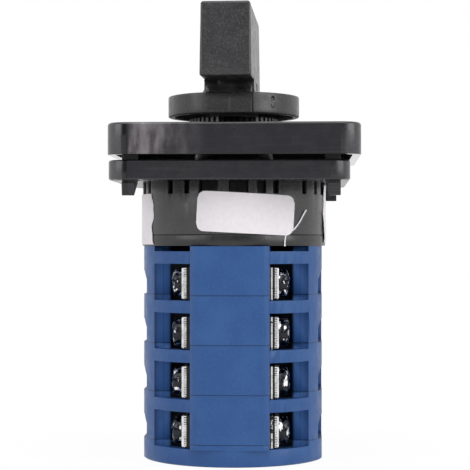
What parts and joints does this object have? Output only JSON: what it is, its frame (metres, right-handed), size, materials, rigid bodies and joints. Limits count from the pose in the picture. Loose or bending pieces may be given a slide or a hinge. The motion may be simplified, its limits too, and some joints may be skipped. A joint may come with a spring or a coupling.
{
  "type": "rotary cam switch",
  "caption": "Panel-mount rotary cam switch: bar knob on a square front plate, round detent housing and a stack of blue contact stages with clamp screws.",
  "frame": {"origin": "on the shaft's axis at the end cover's outer face", "axes": "+Z along the shaft towards the knob, -Y towards the knob's nose, +X to its right"},
  "size_m": [0.064, 0.064, 0.1186],
  "materials": {
    "knob_plastic": "satin",
    "plate_plastic": "satin",
    "housing_plastic": "satin",
    "blue_plastic": "satin",
    "inner_plastic": "matt",
    "zinc": "bright",
    "steel": "satin",
    "spring_steel": "satin",
    "contact_brass": "satin",
    "label_paper": "matt"
  },
  "bodies": {
    "root": {"escutcheon": "plate_plastic", "mounting_plate": "plate_plastic", "plate_screws": "zinc", "detent_housing": "housing_plastic", "detent_base": "housing_plastic", "detent_plungers": "inner_plastic", "detent_springs": "spring_steel", "end_cover": "blue_plastic", "terminal_screws": "zinc", "clamp_washers": "zinc", "fixed_contacts": "contact_brass", "return_springs": "spring_steel", "tie_bolts": "zinc", "tie_nuts": "zinc", "front_label": "label_paper", "left_label": "label_paper", "right_label": "label_paper", "contact_stage_1": "blue_plastic", "contact_stage_2": "blue_plastic", "contact_stage_3": "blue_plastic", "contact_stage_4": "blue_plastic"},
    "rotor": {"knob": "knob_plastic", "knob_screw": "zinc", "shaft": "steel", "star_wheel": "inner_plastic", "cam_1": "inner_plastic", "cam_2": "inner_plastic", "cam_3": "inner_plastic", "cam_4": "inner_plastic"},
    "contact_left_1": {"contact_carrier_left_1": "inner_plastic", "contact_bridge_left_1": "contact_brass", "contact_spring_left_1": "spring_steel"},
    "contact_right_1": {"contact_carrier_right_1": "inner_plastic", "contact_bridge_right_1": "contact_brass", "contact_spring_right_1": "spring_steel"},
    "contact_left_2": {"contact_carrier_left_2": "inner_plastic", "contact_bridge_left_2": "contact_brass", "contact_spring_left_2": "spring_steel"},
    "contact_right_2": {"contact_carrier_right_2": "inner_plastic", "contact_bridge_right_2": "contact_brass", "contact_spring_right_2": "spring_steel"},
    "contact_left_3": {"contact_carrier_left_3": "inner_plastic", "contact_bridge_left_3": "contact_brass", "contact_spring_left_3": "spring_steel"},
    "contact_right_3": {"contact_carrier_right_3": "inner_plastic", "contact_bridge_right_3": "contact_brass", "contact_spring_right_3": "spring_steel"},
    "contact_left_4": {"contact_carrier_left_4": "inner_plastic", "contact_bridge_left_4": "contact_brass", "contact_spring_left_4": "spring_steel"},
    "contact_right_4": {"contact_carrier_right_4": "inner_plastic", "contact_bridge_right_4": "contact_brass", "contact_spring_right_4": "spring_steel"}
  },
  "joints": [
    {"name": "knob_turn", "type": "hinge", "parent": "root", "child": "rotor", "pos_m": [0, 0, 0.0909], "axis": [0, 0, 1], "range_deg": [-60, 60]},
    {"name": "contact_left_1_slide", "type": "slide", "parent": "root", "child": "contact_left_1", "axis": [1, 0, 0], "range_m": [-0.001, 0.001]},
    {"name": "contact_right_1_slide", "type": "slide", "parent": "root", "child": "contact_right_1", "axis": [1, 0, 0], "range_m": [-0.001, 0.001]},
    {"name": "contact_left_2_slide", "type": "slide", "parent": "root", "child": "contact_left_2", "axis": [1, 0, 0], "range_m": [-0.001, 0.001]},
    {"name": "contact_right_2_slide", "type": "slide", "parent": "root", "child": "contact_right_2", "axis": [1, 0, 0], "range_m": [-0.001, 0.001]},
    {"name": "contact_left_3_slide", "type": "slide", "parent": "root", "child": "contact_left_3", "axis": [1, 0, 0], "range_m": [-0.001, 0.001]},
    {"name": "contact_right_3_slide", "type": "slide", "parent": "root", "child": "contact_right_3", "axis": [1, 0, 0], "range_m": [-0.001, 0.001]},
    {"name": "contact_left_4_slide", "type": "slide", "parent": "root", "child": "contact_left_4", "axis": [1, 0, 0], "range_m": [-0.001, 0.001]},
    {"name": "contact_right_4_slide", "type": "slide", "parent": "root", "child": "contact_right_4", "axis": [1, 0, 0], "range_m": [-0.001, 0.001]}
  ],
  "couplings": [
    {"joint": "contact_left_1_slide", "follows": "knob_turn", "m_per_rad": 0.00095},
    {"joint": "contact_right_1_slide", "follows": "knob_turn", "m_per_rad": 0.00095},
    {"joint": "contact_left_2_slide", "follows": "knob_turn", "m_per_rad": 0.00095},
    {"joint": "contact_right_2_slide", "follows": "knob_turn", "m_per_rad": 0.00095},
    {"joint": "contact_left_3_slide", "follows": "knob_turn", "m_per_rad": 0.00095},
    {"joint": "contact_right_3_slide", "follows": "knob_turn", "m_per_rad": 0.00095},
    {"joint": "contact_left_4_slide", "follows": "knob_turn", "m_per_rad": 0.00095},
    {"joint": "contact_right_4_slide", "follows": "knob_turn", "m_per_rad": 0.00095}
  ]
}
